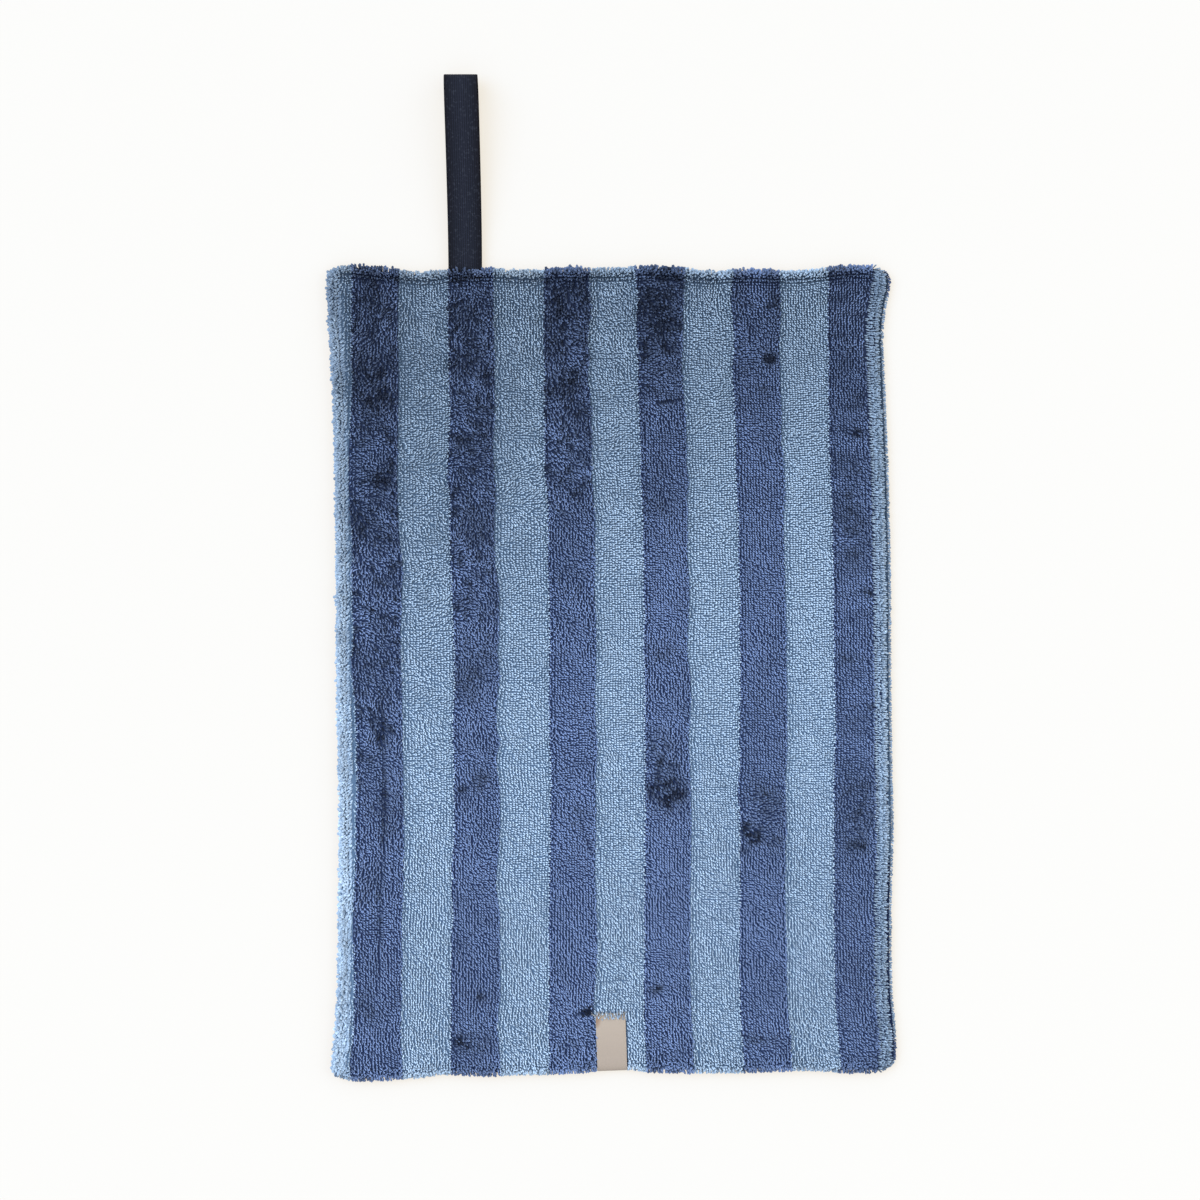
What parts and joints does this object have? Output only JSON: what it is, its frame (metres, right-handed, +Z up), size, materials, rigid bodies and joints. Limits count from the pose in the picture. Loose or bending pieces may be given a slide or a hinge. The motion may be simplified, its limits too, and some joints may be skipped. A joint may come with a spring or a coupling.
{
  "type": "dog paw towel",
  "caption": "Flat striped terry towel of two layers for drying a dog's paws, with a tape loop to hang it by and a folded blank label at the hem.",
  "frame": {"origin": "middle of the flat underside that the towel lies on", "axes": "+X across the stripes, +Y along the stripes towards the hanging loop, +Z up off the floor"},
  "size_m": [0.354, 0.6233, 0.0179],
  "materials": {
    "front_terry": "matt terry pile, light and dark blue stripes",
    "back_terry": "matt terry pile, light and dark blue stripes",
    "loop_tape": "matt ribbed woven tape, dark navy",
    "label_satin": "soft satin, pale grey beige"
  },
  "bodies": {
    "root": {"front_panel": "front_terry", "back_panel": "back_terry", "hanging_loop": "loop_tape", "label": "label_satin"}
  },
  "joints": []
}
